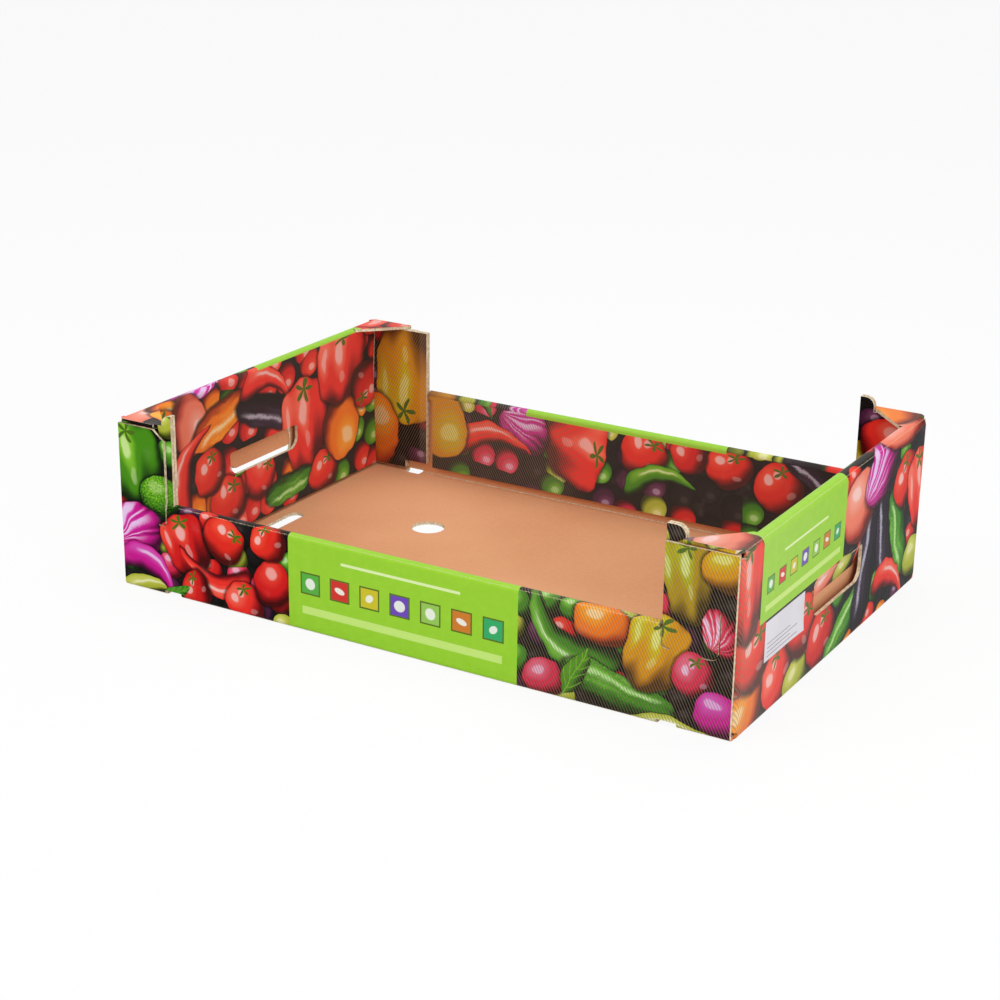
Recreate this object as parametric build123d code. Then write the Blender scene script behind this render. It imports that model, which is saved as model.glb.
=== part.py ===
from build123d import *
from collections import namedtuple
from math import cos, radians, sin
import os

# Stacking tray folded from one printed blank of corrugated board, with two pushed-in hand hole flaps.
# Millimetres. X runs along the long side, the front faces -Y, Z is up, and the origin is the
# centre of the footprint on the ground.

# Overall size
LENGTH = 600.0
WIDTH = 400.0
HEIGHT = 157.0
LOW_HEIGHT = 86.0
BACK_LOW_HEIGHT = 93.0

# Board and folds
BOARD = 3.0
BEND = 1.5
PLY_GAP = 0.4
GLUE_WIDTH = 24.0
GLUE_HEIGHT = 60.0

# Long walls: cut-out between the corner panels, and the board rolled over to the inside
SIDE_ROLL_DEPTH = 9.0
SIDE_ROLL_RADIUS = 4.4
SIDE_ROLL_INNER_RADIUS = 4.2
SIDE_INNER_BOTTOM = 12.0
SIDE_ROLL_GAP = 2.0
SIDE_INNER_GAP = 5.0

# End walls: roll over the top, inner panel leaning to a crease, then down to its foot
END_ROLL_DEPTH = 12.0
END_ROLL_RADIUS = 7.0
END_ROLL_INNER_RADIUS = 4.6
END_CREASE_DROP = 49.0
END_CREASE_LEAN = 2.0
END_FOOT_LEAN = -1.0
END_INNER_BOTTOM = 6.5
END_INNER_SIDE_GAP = 1.5
END_SNIP = 9.0

# Corner plies: side flaps glued behind the corner panel, with the stacking tab on top
CORNER_EDGE_GAP = 3.0
CORNER_TOP_GAP = 1.0
FLAP_BOTTOM = 7.0
FLAP_RAISED = 15.0
TAB_INSET = 49.0
TAB_RISE = 9.5
TAB_RADIUS = 8.0
TAB_CLEARANCE = 0.5
CORNER_SNIP = (12.0, 9.0)

# Triangular covers between the end wall's top and the corner panels
COVER_LEG_X = 50.0
COVER_LEG_Y = 45.0
COVER_EDGE = 1.0
COVER_END_EDGE = 3.0
COVER_TIP = 4.0

# Relief slits at the ends of the cut-outs
SLIT_WIDTH = 1.2
SLIT_DEPTH = 20.0
SLIT_HOOK = 4.0
SLIT_FOOT = 8.0

# Lock slit beside one front corner, hooked towards the middle
LOCK_INSET = 15.5
LOCK_HIGH = 104.0
LOCK_LOW = 65.0
LOCK_HOOK = 7.0
LOCK_FOOT = 14.0

# Base: drain holes, slots, and the slots that take the tabs of a tray below
DRAIN_DIAMETER = 32.0
DRAIN_INSET_X = 158.0
DRAIN_INSET_Y = 138.0
BASE_SLOT_LENGTH = 56.0
BASE_SLOT_WIDTH = 15.0
BASE_SLOT_INSET = 31.0
STACK_SLOT_WIDTH = 17.5
STACK_SLOT_DEPTH = 12.0
STACK_SLOT_HEIGHT = 4.5

# Hand holes and their flaps
HAND_WIDTH = 105.0
HAND_TOP = 82.0
HAND_HEIGHT = 32.0
HAND_RADIUS = 12.0
HAND_TOP_RADIUS = 3.0
HAND_INNER_MARGIN = 1.0
HAND_INNER_TOP_GAP = 2.0
FLAP_WIDTH = 95.0
FLAP_HEIGHT = 17.0
FLAP_SWING_GAP = 4.0
FLAP_RADIUS = 8.0
FLAP_HINGE_GAP = 0.3
FLAP_ANGLE = 15.0

# One corner of the tray: the end and long side it belongs to, how wide its panel and the flaps
# behind it are from the end, whether its stacking tab stands up, whether the panel has its top
# snipped off, and whether the panel has a lock slit
Corner = namedtuple("Corner", "end side panel_width flap_width tab snip lock")
CORNERS = [
    Corner(-1, -1, 53.0, 59.0, True, True, False),
    Corner(-1, 1, 58.0, 74.0, False, False, False),
    Corner(1, -1, 64.0, 65.0, True, False, True),
    Corner(1, 1, 58.0, 62.0, True, False, False),
]

HALF_BOARD = BOARD / 2
FOLD_RADIUS = BEND + BOARD
PLY_PITCH = BOARD + PLY_GAP
TAB_OUTER = LENGTH / 2 - TAB_INSET
STACK_SLOT_END = TAB_OUTER + TAB_CLEARANCE
SIDE_INNER_Y = WIDTH / 2 - SIDE_ROLL_DEPTH
END_INNER_X = LENGTH / 2 - END_ROLL_DEPTH
OUTER_FLAP_Y = WIDTH / 2 - PLY_PITCH
INNER_FLAP_Y = OUTER_FLAP_Y - PLY_PITCH
FLAP_TOP = HEIGHT - BOARD - PLY_GAP
PANEL_TOP = HEIGHT - BOARD - CORNER_TOP_GAP
END_HALF = OUTER_FLAP_Y - FOLD_RADIUS
CORNER_END = LENGTH / 2 - CORNER_EDGE_GAP
HINGE_X = LENGTH / 2 - BOARD


def folded(points, outer_radii):
    """Section of the board whose middle runs through the points, with folds of the given outer radii."""
    radii = [radius - HALF_BOARD for radius in outer_radii]
    return trace(FilletPolyline(*points, radius=radii), BOARD)


def placed(shape, end, side=1):
    """Shape made for the corner at +X and +Y, moved to the given end and long side."""
    if end < 0:
        shape = mirror(shape, about=Plane.YZ)
    if side < 0:
        shape = mirror(shape, about=Plane.XZ)
    return shape


def block(x_range, y_range, z_range):
    """Box between the given limits."""
    ranges = (x_range, y_range, z_range)
    size = [max(limits) - min(limits) for limits in ranges]
    middle = [sum(limits) / 2 for limits in ranges]
    return Pos(*middle) * Box(*size)


def along_x(face, low, high):
    """Face drawn in Y and Z, extruded between two X positions."""
    return Pos(low, 0, 0) * extrude(Plane.YZ * face, amount=high - low)


def along_y(face, low, high):
    """Face drawn in X and Z, extruded between two Y positions."""
    return Pos(0, high, 0) * extrude(Plane.XZ * face, amount=high - low)


def long_wall(side):
    """Long wall at +Y: base fold, tall corner panels, low middle rolled over to the inside."""
    outer_y = WIDTH / 2 - HALF_BOARD
    section = folded([(0, HALF_BOARD), (outer_y, HALF_BOARD), (outer_y, PANEL_TOP)], [FOLD_RADIUS])
    wall = along_x(section, -CORNER_END, CORNER_END)
    corners = {corner.end: corner for corner in CORNERS if corner.side == side}
    low_height = BACK_LOW_HEIGHT if side > 0 else LOW_HEIGHT
    roll_base = low_height - SIDE_ROLL_RADIUS
    cutout_y = (WIDTH / 2 - BOARD - PLY_GAP, WIDTH / 2 + BOARD)
    cutout_x = (-panel_edge(corners[-1]), panel_edge(corners[1]))
    wall -= block(cutout_x, cutout_y, (roll_base, HEIGHT))
    inner_y = SIDE_INNER_Y + HALF_BOARD
    roll_top = low_height - HALF_BOARD
    roll_points = [
        (outer_y, FOLD_RADIUS),
        (outer_y, roll_top),
        (inner_y, roll_top),
        (inner_y, SIDE_INNER_BOTTOM),
    ]
    roll = folded(roll_points, [SIDE_ROLL_RADIUS, SIDE_ROLL_INNER_RADIUS])
    low, high = SIDE_ROLL_GAP - flap_edge(corners[-1]), flap_edge(corners[1]) - SIDE_ROLL_GAP
    rolled = along_x(roll, low, high)
    trim_y = (SIDE_INNER_Y - BOARD, SIDE_INNER_Y + BOARD)
    trim_z = (0, low_height - SIDE_ROLL_DEPTH)
    rolled -= block((low, low + SIDE_INNER_GAP), trim_y, trim_z)
    rolled -= block((high - SIDE_INNER_GAP, high), trim_y, trim_z)
    wall += rolled
    slit_low = low_height - SLIT_DEPTH
    for end, corner in corners.items():
        relief = hooked_slit(panel_edge(corner), low_height, slit_low, SLIT_FOOT, SLIT_HOOK)
        wall -= placed(relief, end)
    return placed(wall, 1, side)


def panel_edge(corner):
    """Distance from the middle of the tray to the edge of a corner's panel at the cut-out."""
    return LENGTH / 2 - corner.panel_width


def flap_edge(corner):
    """Distance from the middle of the tray to the free edge of a corner's flaps."""
    return LENGTH / 2 - corner.flap_width


def hooked_slit(x, high, low, foot, hook):
    """Knife cut down through the +Y outer panel, turning at its foot."""
    path = FilletPolyline((x, high), (x, low), (x + foot, low), radius=hook)
    return along_y(trace(path, SLIT_WIDTH), WIDTH / 2 - BOARD - PLY_GAP / 2, WIDTH / 2 + BOARD)


def lock_slit(corner):
    """Lock slit in a corner panel, hooked towards the middle."""
    slit = hooked_slit(LENGTH / 2 - LOCK_INSET, LOCK_HIGH, LOCK_LOW, -LOCK_FOOT, LOCK_HOOK)
    return placed(slit, corner.end, corner.side)


def end_wall():
    """End wall at +X: base fold, outer panel, rolled top, inner panel creased above the hand hole."""
    outer_x = LENGTH / 2 - HALF_BOARD
    inner_x = END_INNER_X + HALF_BOARD
    points = [
        (0, HALF_BOARD),
        (outer_x, HALF_BOARD),
        (outer_x, HEIGHT - HALF_BOARD),
        (inner_x, HEIGHT - HALF_BOARD),
        (inner_x + END_CREASE_LEAN, HEIGHT - END_CREASE_DROP),
        (inner_x + END_FOOT_LEAN, END_INNER_BOTTOM),
    ]
    radii = [FOLD_RADIUS, END_ROLL_RADIUS, END_ROLL_INNER_RADIUS, FOLD_RADIUS]
    wall = along_y(folded(points, radii), -END_HALF, END_HALF)
    cheek_y = END_HALF + BOARD
    trim_x = (END_INNER_X - BOARD, HINGE_X - PLY_GAP)
    inner_edge = INNER_FLAP_Y - BOARD - END_INNER_SIDE_GAP
    snip = make_face(
        Polyline(
            (inner_edge, FLAP_TOP - END_SNIP),
            (inner_edge, FLAP_TOP),
            (inner_edge - END_SNIP, FLAP_TOP),
            close=True,
        )
    )
    for side in (-1, 1):
        wall -= block(trim_x, (side * inner_edge, side * cheek_y), (BOARD + PLY_GAP, FLAP_TOP))
        wall -= placed(along_x(snip, *trim_x), 1, side)
    return wall - hand_holes()


def rounded_hole(width, low, high, low_radius, high_radius):
    """Outline in Y and Z of a hole with rounder lower corners."""
    half = width / 2
    outline = Polyline((-half, high), (-half, low), (half, low), (half, high), close=True)
    face = make_face(outline)
    face = fillet(face.vertices().filter_by(lambda v: v.Y < (low + high) / 2), low_radius)
    return fillet(face.vertices().group_by(Axis.Y)[-1], high_radius)


def hand_holes():
    """Hand hole of the +X end, cut less deep through the inner panel, which the flap swings through."""
    low = HAND_TOP - HAND_HEIGHT
    outer = rounded_hole(HAND_WIDTH, low, HAND_TOP, HAND_RADIUS, HAND_TOP_RADIUS)
    inner = rounded_hole(
        HAND_WIDTH + 2 * HAND_INNER_MARGIN,
        HAND_TOP - FLAP_HEIGHT - FLAP_SWING_GAP,
        HAND_TOP + HAND_INNER_TOP_GAP,
        HAND_RADIUS,
        HAND_TOP_RADIUS,
    )
    split_x = HINGE_X - PLY_GAP
    inner_start = END_INNER_X - 2 * BOARD
    return along_x(outer, split_x, LENGTH / 2 + BOARD) + along_x(inner, inner_start, split_x)


def flap_outline(corner, far_x):
    """Outline in X and Z of a side flap, raised over the stacking slot, with its stacking tab."""
    edge_x = flap_edge(corner)
    outline = Polyline(
        (far_x, FLAP_BOTTOM),
        (far_x, FLAP_TOP),
        (edge_x, FLAP_TOP),
        (edge_x, FLAP_RAISED),
        (STACK_SLOT_END, FLAP_RAISED),
        (STACK_SLOT_END, FLAP_BOTTOM),
        close=True,
    )
    face = make_face(outline)
    if corner.tab:
        tab_top = HEIGHT + TAB_RISE
        tab_low = FLAP_TOP - BOARD
        tab = make_face(
            Polyline(
                (edge_x, tab_low),
                (edge_x, tab_top),
                (TAB_OUTER, tab_top),
                (TAB_OUTER, tab_low),
                close=True,
            )
        )
        face += fillet(tab.vertices().group_by(Axis.Y)[-1].sort_by(Axis.X)[-1], TAB_RADIUS)
    return face


def corner_plies(corner):
    """Two side flaps lying behind a corner panel, with the glue between the boards."""
    outer_far = LENGTH / 2 - FOLD_RADIUS
    inner_far = HINGE_X - 2 * PLY_GAP - BOARD
    plies = along_y(flap_outline(corner, outer_far), OUTER_FLAP_Y - BOARD, OUTER_FLAP_Y)
    plies += along_y(flap_outline(corner, inner_far), INNER_FLAP_Y - BOARD, INNER_FLAP_Y)
    fold_x, fold_y = LENGTH / 2 - HALF_BOARD, OUTER_FLAP_Y - HALF_BOARD
    fold_arc = [(outer_far - BOARD, fold_y), (fold_x, fold_y), (fold_x, END_HALF - BOARD)]
    fold = extrude(folded(fold_arc, [FOLD_RADIUS]), amount=HEIGHT - END_ROLL_RADIUS - FLAP_BOTTOM)
    plies += Pos(0, 0, FLAP_BOTTOM) * fold
    middle_x = (flap_edge(corner) + inner_far) / 2
    middle_z = (FLAP_BOTTOM + FLAP_TOP) / 2
    for ply_y in (OUTER_FLAP_Y, INNER_FLAP_Y):
        plies += block(
            (middle_x - GLUE_WIDTH / 2, middle_x + GLUE_WIDTH / 2),
            (ply_y, ply_y + PLY_GAP),
            (middle_z - GLUE_HEIGHT / 2, middle_z + GLUE_HEIGHT / 2),
        )
    return placed(plies, corner.end, corner.side)


def corner_cover():
    """Triangular cover at the +X, +Y corner, carried by the end wall's top and lying on the plies."""
    wall_y = WIDTH / 2 - COVER_EDGE
    end_x = LENGTH / 2 - COVER_END_EDGE
    inner_x = LENGTH / 2 - END_ROLL_DEPTH / 2
    outline = Polyline(
        (inner_x, WIDTH / 2 - COVER_LEG_Y),
        (END_INNER_X, WIDTH / 2 - COVER_LEG_Y),
        (LENGTH / 2 - COVER_LEG_X, wall_y - COVER_TIP),
        (LENGTH / 2 - COVER_LEG_X, wall_y),
        (end_x - COVER_TIP, wall_y),
        (end_x, wall_y - COVER_TIP),
        (end_x, END_HALF),
        (inner_x, END_HALF),
        close=True,
    )
    return Pos(0, 0, HEIGHT - BOARD) * extrude(make_face(outline), amount=BOARD)


def base_holes():
    """Round drain holes, end slots and the slots that take the tabs of a tray below."""
    drain_x, drain_y = LENGTH / 2 - DRAIN_INSET_X, WIDTH / 2 - DRAIN_INSET_Y
    slot_x = LENGTH / 2 - BASE_SLOT_INSET
    drain = Circle(DRAIN_DIAMETER / 2)
    slot = SlotOverall(BASE_SLOT_LENGTH, BASE_SLOT_WIDTH, rotation=90)
    outlines = [Pos(x, y) * drain for x in (-drain_x, drain_x) for y in (-drain_y, drain_y)]
    outlines += [Pos(x, 0) * slot for x in (-slot_x, slot_x)]
    cut = Pos(0, 0, -HALF_BOARD) * extrude(Sketch() + outlines, amount=2 * BOARD)
    for end in (-1, 1):
        for side in (-1, 1):
            slot = block(
                (STACK_SLOT_END - STACK_SLOT_WIDTH, STACK_SLOT_END),
                (WIDTH / 2 - STACK_SLOT_DEPTH, WIDTH / 2 + BOARD),
                (-BOARD, STACK_SLOT_HEIGHT),
            )
            cut += placed(slot, end, side)
    return cut


def corner_snip(corner):
    """Wedge cut off the top of a corner panel beside the cut-out."""
    width, height = CORNER_SNIP
    edge_x = panel_edge(corner)
    outline = Polyline(
        (edge_x - BOARD, HEIGHT),
        (edge_x + width, HEIGHT),
        (edge_x + width, PANEL_TOP),
        (edge_x, PANEL_TOP - height),
        (edge_x - BOARD, PANEL_TOP - height),
        close=True,
    )
    wedge = along_y(make_face(outline), WIDTH / 2 - BOARD - PLY_GAP / 2, WIDTH / 2 + BOARD)
    return placed(wedge, corner.end, corner.side)


def tray():
    """The folded and glued blank, one piece."""
    body = long_wall(-1) + long_wall(1)
    for end in (-1, 1):
        body += placed(end_wall(), end)
    for corner in CORNERS:
        body += corner_plies(corner)
        body += placed(corner_cover(), corner.end, corner.side)
        if corner.snip:
            body -= corner_snip(corner)
        if corner.lock:
            body -= lock_slit(corner)
    return body - base_holes()


def hand_flap(end):
    """Flap of a hand hole, hinged along the crease at the hole's top and pushed slightly inwards."""
    top = HAND_TOP - FLAP_HINGE_GAP
    face = rounded_hole(FLAP_WIDTH, top - FLAP_HEIGHT, top, FLAP_RADIUS, SLIT_WIDTH)
    flap = along_x(face, HINGE_X, LENGTH / 2)
    hinge = Pos(HINGE_X, 0, HAND_TOP)
    flap = hinge * Rot(0, FLAP_ANGLE, 0) * hinge.inverse() * flap
    return placed(flap, end)


os.makedirs("parts", exist_ok=True)
export_step(tray(), "parts/tray.step")
export_step(hand_flap(-1), "parts/hand_flap_left.step")
export_step(hand_flap(1), "parts/hand_flap_right.step")
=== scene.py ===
"""Dresses the folded cardboard produce tray: print, bare liner, cut edges, hand flaps and paper label."""

import logging
import math
from dataclasses import dataclass, field
from enum import Enum

import bpy
from mathutils import Euler, Matrix, Vector

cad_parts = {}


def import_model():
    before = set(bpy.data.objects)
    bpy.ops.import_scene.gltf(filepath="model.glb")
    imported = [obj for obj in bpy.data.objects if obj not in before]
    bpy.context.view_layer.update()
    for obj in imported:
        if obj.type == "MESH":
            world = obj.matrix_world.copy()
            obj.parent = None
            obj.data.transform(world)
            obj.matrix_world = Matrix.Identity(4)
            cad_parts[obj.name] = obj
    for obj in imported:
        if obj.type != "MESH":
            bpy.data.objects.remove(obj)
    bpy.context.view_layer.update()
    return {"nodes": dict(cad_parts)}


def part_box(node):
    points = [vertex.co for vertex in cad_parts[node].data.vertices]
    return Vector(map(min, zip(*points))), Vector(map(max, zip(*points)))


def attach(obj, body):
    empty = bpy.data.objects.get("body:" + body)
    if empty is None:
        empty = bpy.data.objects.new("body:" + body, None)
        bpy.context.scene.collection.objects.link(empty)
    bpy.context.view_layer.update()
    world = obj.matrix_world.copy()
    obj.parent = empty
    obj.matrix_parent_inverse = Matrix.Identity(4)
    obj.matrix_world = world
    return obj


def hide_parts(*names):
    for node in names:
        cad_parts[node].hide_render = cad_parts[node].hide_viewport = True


log = logging.getLogger("tray")

MM = 0.001
SMOOTH_ANGLE = math.radians(35.0)
FLUTE_SCALE = 0.049
Colour = tuple[float, float, float]
Spot = tuple[float, float]
Socket = bpy.types.NodeSocket
BLACK, WHITE = (0.0, 0.0, 0.0), (1.0, 1.0, 1.0)


class Surface(Enum):
    """Which side of the folded board a face of the tray belongs to, by material slot."""

    FRONT_PRINT = 0
    RIGHT_PRINT = 1
    BACK_PRINT = 2
    LEFT_PRINT = 3
    KRAFT = 4
    CUT_EDGE = 5


class Zone(Enum):
    """Sides of a wall's top fold, each with its own material so that neither draws the other's motifs."""

    OUTER = "outer"
    INNER = "inner"


class Produce(Enum):
    """Kinds of plain produce shapes in the print."""

    ROUND = "round"
    PLAIN = "plain"
    LOBED = "lobed"
    LONG = "long"
    STREAKED = "streaked"
    SPECKLED = "speckled"
    CURVED = "curved"
    LEAF = "leaf"


ROUND, PLAIN, LOBED, LONG, STREAKED, SPECKLED, CURVED, LEAF = Produce


@dataclass(frozen=True)
class Skin:
    """Colours of one kind of produce, from its shaded rim to its highlight."""

    shade: Colour
    body: Colour
    light: Colour
    glint: Colour = (0.88, 0.62, 0.58)


@dataclass(frozen=True)
class Motif:
    """One printed piece of produce: its kind, skin, middle, half sizes and turn, in mm and degrees."""

    kind: Produce
    skin: Skin
    u: float
    v: float
    half_u: float
    half_v: float
    turn: float = 0.0


TOMATO = Skin((0.26, 0.006, 0.004), (0.74, 0.022, 0.012), (0.90, 0.085, 0.040))
CHERRY = Skin((0.22, 0.002, 0.004), (0.62, 0.010, 0.010), (0.84, 0.060, 0.035), (0.86, 0.58, 0.54))
PAPRIKA = Skin((0.45, 0.05, 0.004), (0.86, 0.19, 0.008), (0.95, 0.42, 0.03), (0.95, 0.82, 0.50))
SCARLET = Skin((0.34, 0.006, 0.010), (0.82, 0.030, 0.020), (0.93, 0.16, 0.10), (0.92, 0.60, 0.56))
LEMON = Skin((0.18, 0.11, 0.003), (0.42, 0.27, 0.006), (0.44, 0.46, 0.015), (0.76, 0.80, 0.32))
LIME = Skin((0.012, 0.055, 0.002), (0.06, 0.25, 0.006), (0.24, 0.56, 0.03), (0.72, 0.85, 0.40))
CUCUMBER = Skin((0.010, 0.060, 0.004), (0.045, 0.22, 0.010), (0.22, 0.58, 0.05), (0.60, 0.85, 0.40))
AUBERGINE = Skin((0.002, 0.001, 0.003), (0.010, 0.004, 0.012), (0.06, 0.03, 0.07), (0.62, 0.60, 0.72))
BEET = Skin((0.22, 0.002, 0.10), (0.56, 0.008, 0.26), (0.72, 0.10, 0.52), (0.80, 0.62, 0.86))
RADISH = Skin((0.24, 0.004, 0.02), (0.64, 0.02, 0.07), (0.82, 0.16, 0.26), (0.84, 0.60, 0.78))
PEACH = Skin((0.50, 0.05, 0.03), (0.84, 0.20, 0.12), (0.92, 0.42, 0.32), (0.94, 0.74, 0.74))
MANGO = Skin((0.30, 0.11, 0.002), (0.66, 0.29, 0.004), (0.62, 0.52, 0.012), (0.80, 0.82, 0.28))
PLUM = Skin((0.012, 0.003, 0.018), (0.06, 0.010, 0.04), (0.18, 0.05, 0.12), (0.50, 0.36, 0.50))
GRAPE = Skin((0.14, 0.17, 0.01), (0.42, 0.46, 0.04), (0.66, 0.68, 0.14), (0.86, 0.86, 0.52))
NIGHT = Skin((0.002, 0.002, 0.002), (0.006, 0.005, 0.005), (0.015, 0.012, 0.012), (0.05, 0.04, 0.04))


def times(colour: Colour, factor: float) -> Colour:
    """Makes a colour lighter or darker by a factor."""
    return tuple(part * factor for part in colour)


class NodeSheet:
    """Short calls for drawing a shader's node tree. A value is a number, vector, colour or output socket."""

    def __init__(self, name: str) -> None:
        """Starts an empty material.

        Args:
            name: The material's name.
        """
        self.material = bpy.data.materials.new(name)
        self.material.use_nodes = True
        self.tree = self.material.node_tree
        self.tree.nodes.clear()

    @classmethod
    def on(cls, tree: bpy.types.NodeTree) -> "NodeSheet":
        """Works on a tree that exists, such as the world's.

        Args:
            tree: The node tree.

        Returns:
            The sheet over that tree.
        """
        sheet = cls.__new__(cls)
        sheet.tree = tree
        return sheet

    def add(self, kind: str, values: tuple | dict = (), **settings: object) -> bpy.types.Node:
        """Adds a node, sets its properties and fills its inputs.

        Args:
            kind: The node's type name, without ShaderNode in front.
            values: Values of the first inputs, or of the inputs named or numbered by the keys.
            settings: Properties of the node.

        Returns:
            The new node.
        """
        node = self.tree.nodes.new("ShaderNode" + kind)
        for key, value in settings.items():
            setattr(node, key, value)
        for key, value in values.items() if isinstance(values, dict) else enumerate(values):
            self.put(node.inputs[key], value)
        return node

    def put(self, socket: Socket, value: object) -> None:
        """Links an output socket or writes a constant into an input.

        Args:
            socket: The input.
            value: The value.
        """
        if isinstance(value, Socket):
            self.tree.links.new(value, socket)
        elif isinstance(value, tuple) and socket.type == "RGBA":
            socket.default_value = (*value, 1.0)
        else:
            socket.default_value = value

    def math(self, operation: str, first: object, second: object = 0.0, third: object = 0.0) -> Socket:
        """One arithmetic step on numbers."""
        return self.add("Math", (first, second, third), operation=operation).outputs[0]

    def mul(self, first: object, second: object) -> Socket:
        """Product of two numbers."""
        return self.math("MULTIPLY", first, second)

    def mul_add(self, first: object, second: object, third: object) -> Socket:
        """Product of the first two numbers, plus the third."""
        return self.math("MULTIPLY_ADD", first, second, third)

    def squares(self, first: object, second: object) -> Socket:
        """Sum of two squares."""
        return self.mul_add(first, first, self.mul(second, second))

    def vector(self, operation: str, first: object, second: object) -> bpy.types.Node:
        """One arithmetic step on vectors, as a node whose outputs are Vector and Value."""
        return self.add("VectorMath", (first, second), operation=operation)

    def span(
        self, value: object, low: float, high: float, to_low: float = 0.0, to_high: float = 1.0,
    ) -> Socket:
        """Smooth step from to_low, where the value is low, to to_high, where it is high."""
        values = (value, low, high, to_low, to_high)
        return self.add("MapRange", values, interpolation_type="SMOOTHSTEP", clamp=False).outputs[0]

    def blend(self, share: object, under: object, over: object, mode: str = "MIX") -> Socket:
        """Colour in which a share of the second colour lies over the first."""
        return self.add("Mix", {0: share, 6: under, 7: over}, data_type="RGBA", blend_type=mode).outputs[2]

    def pick(self, value: object, colours: list[Colour]) -> Socket:
        """Picks one of several plain colours.

        Args:
            value: Number between 0 and 1.
            colours: The colours, each with the same share of that range.

        Returns:
            The colour's socket.
        """
        node = self.add("ValToRGB")
        ramp = node.color_ramp
        ramp.interpolation = "CONSTANT"
        while len(ramp.elements) < len(colours):
            ramp.elements.new(0.5)
        for index, (element, colour) in enumerate(zip(ramp.elements, colours)):
            element.position = index / len(colours)
            element.color = (*colour, 1.0)
        self.put(node.inputs[0], value)
        return node.outputs[0]

    def place(
        self, vector: object, kind: str = "POINT", location: tuple = (0, 0, 0), turn: float = 0.0,
        scale: tuple = (1, 1, 1),
    ) -> Socket:
        """Moved, turned and scaled coordinates: POINT moves them, and TEXTURE moves the pattern."""
        turned = (0.0, 0.0, math.radians(turn))
        return self.add("Mapping", (vector, location, turned, scale), vector_type=kind).outputs[0]

    def noise(
        self, vector: object, scale: float, detail: float = 2.0, roughness: float = 0.5,
    ) -> bpy.types.Node:
        """Noise, as a node whose outputs are Fac and Color."""
        values = {"Vector": vector, "Scale": scale, "Detail": detail, "Roughness": roughness}
        return self.add("TexNoise", values)

    def waves(self, vector: object, direction: str, scale: float, distortion: float = 0.0) -> Socket:
        """Straight waves that follow each other along an axis, such as the board's flutes."""
        values = {"Vector": vector, "Scale": scale, "Distortion": distortion}
        return self.add("TexWave", values, wave_type="BANDS", bands_direction=direction).outputs["Fac"]

    def split(self, vector: object) -> bpy.types.bpy_prop_collection:
        """The three parts of a vector, as sockets."""
        return self.add("SeparateXYZ", (vector,)).outputs

    def finish(
        self, colour: object, roughness: float, height: object, bump: float, specular: float = 0.3,
    ) -> bpy.types.Material:
        """Ends the tree in a principled shader.

        Args:
            colour: Base colour.
            roughness: Roughness of the surface.
            height: Height for the bump, in metres.
            bump: Strength of the bump.
            specular: How much the surface mirrors.

        Returns:
            The finished material.
        """
        values = {"Base Color": colour, "Roughness": roughness, "Specular IOR Level": specular}
        shader = self.add("BsdfPrincipled", values)
        relief = self.add("Bump", {"Strength": bump, "Distance": 1.0, "Height": height})
        self.put(shader.inputs["Normal"], relief.outputs[0])
        self.add("OutputMaterial", (shader.outputs[0],))
        return self.material


@dataclass(frozen=True)
class LabelField:
    """Plain field of colour left in the print, with a row of small tinted tiles and two bars."""

    low: Spot
    high: Spot
    tile_v: float
    tile_half: float
    tile_pitch: float
    tile_start: float
    bars: tuple[tuple[Spot, Spot], ...]
    tiles: tuple[Colour, ...] = (
        (0.10, 0.42, 0.06), (0.62, 0.04, 0.03), (0.60, 0.52, 0.03), (0.16, 0.07, 0.48), (0.30, 0.55, 0.10),
        (0.60, 0.20, 0.03), (0.04, 0.40, 0.14),
    )


@dataclass(frozen=True)
class Gleam:
    """Soft pale spot mirrored in a skin: its middle, half sizes and strength, as shares of the body."""

    across: float
    up: float
    half_u: float
    half_v: float
    strength: float


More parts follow.
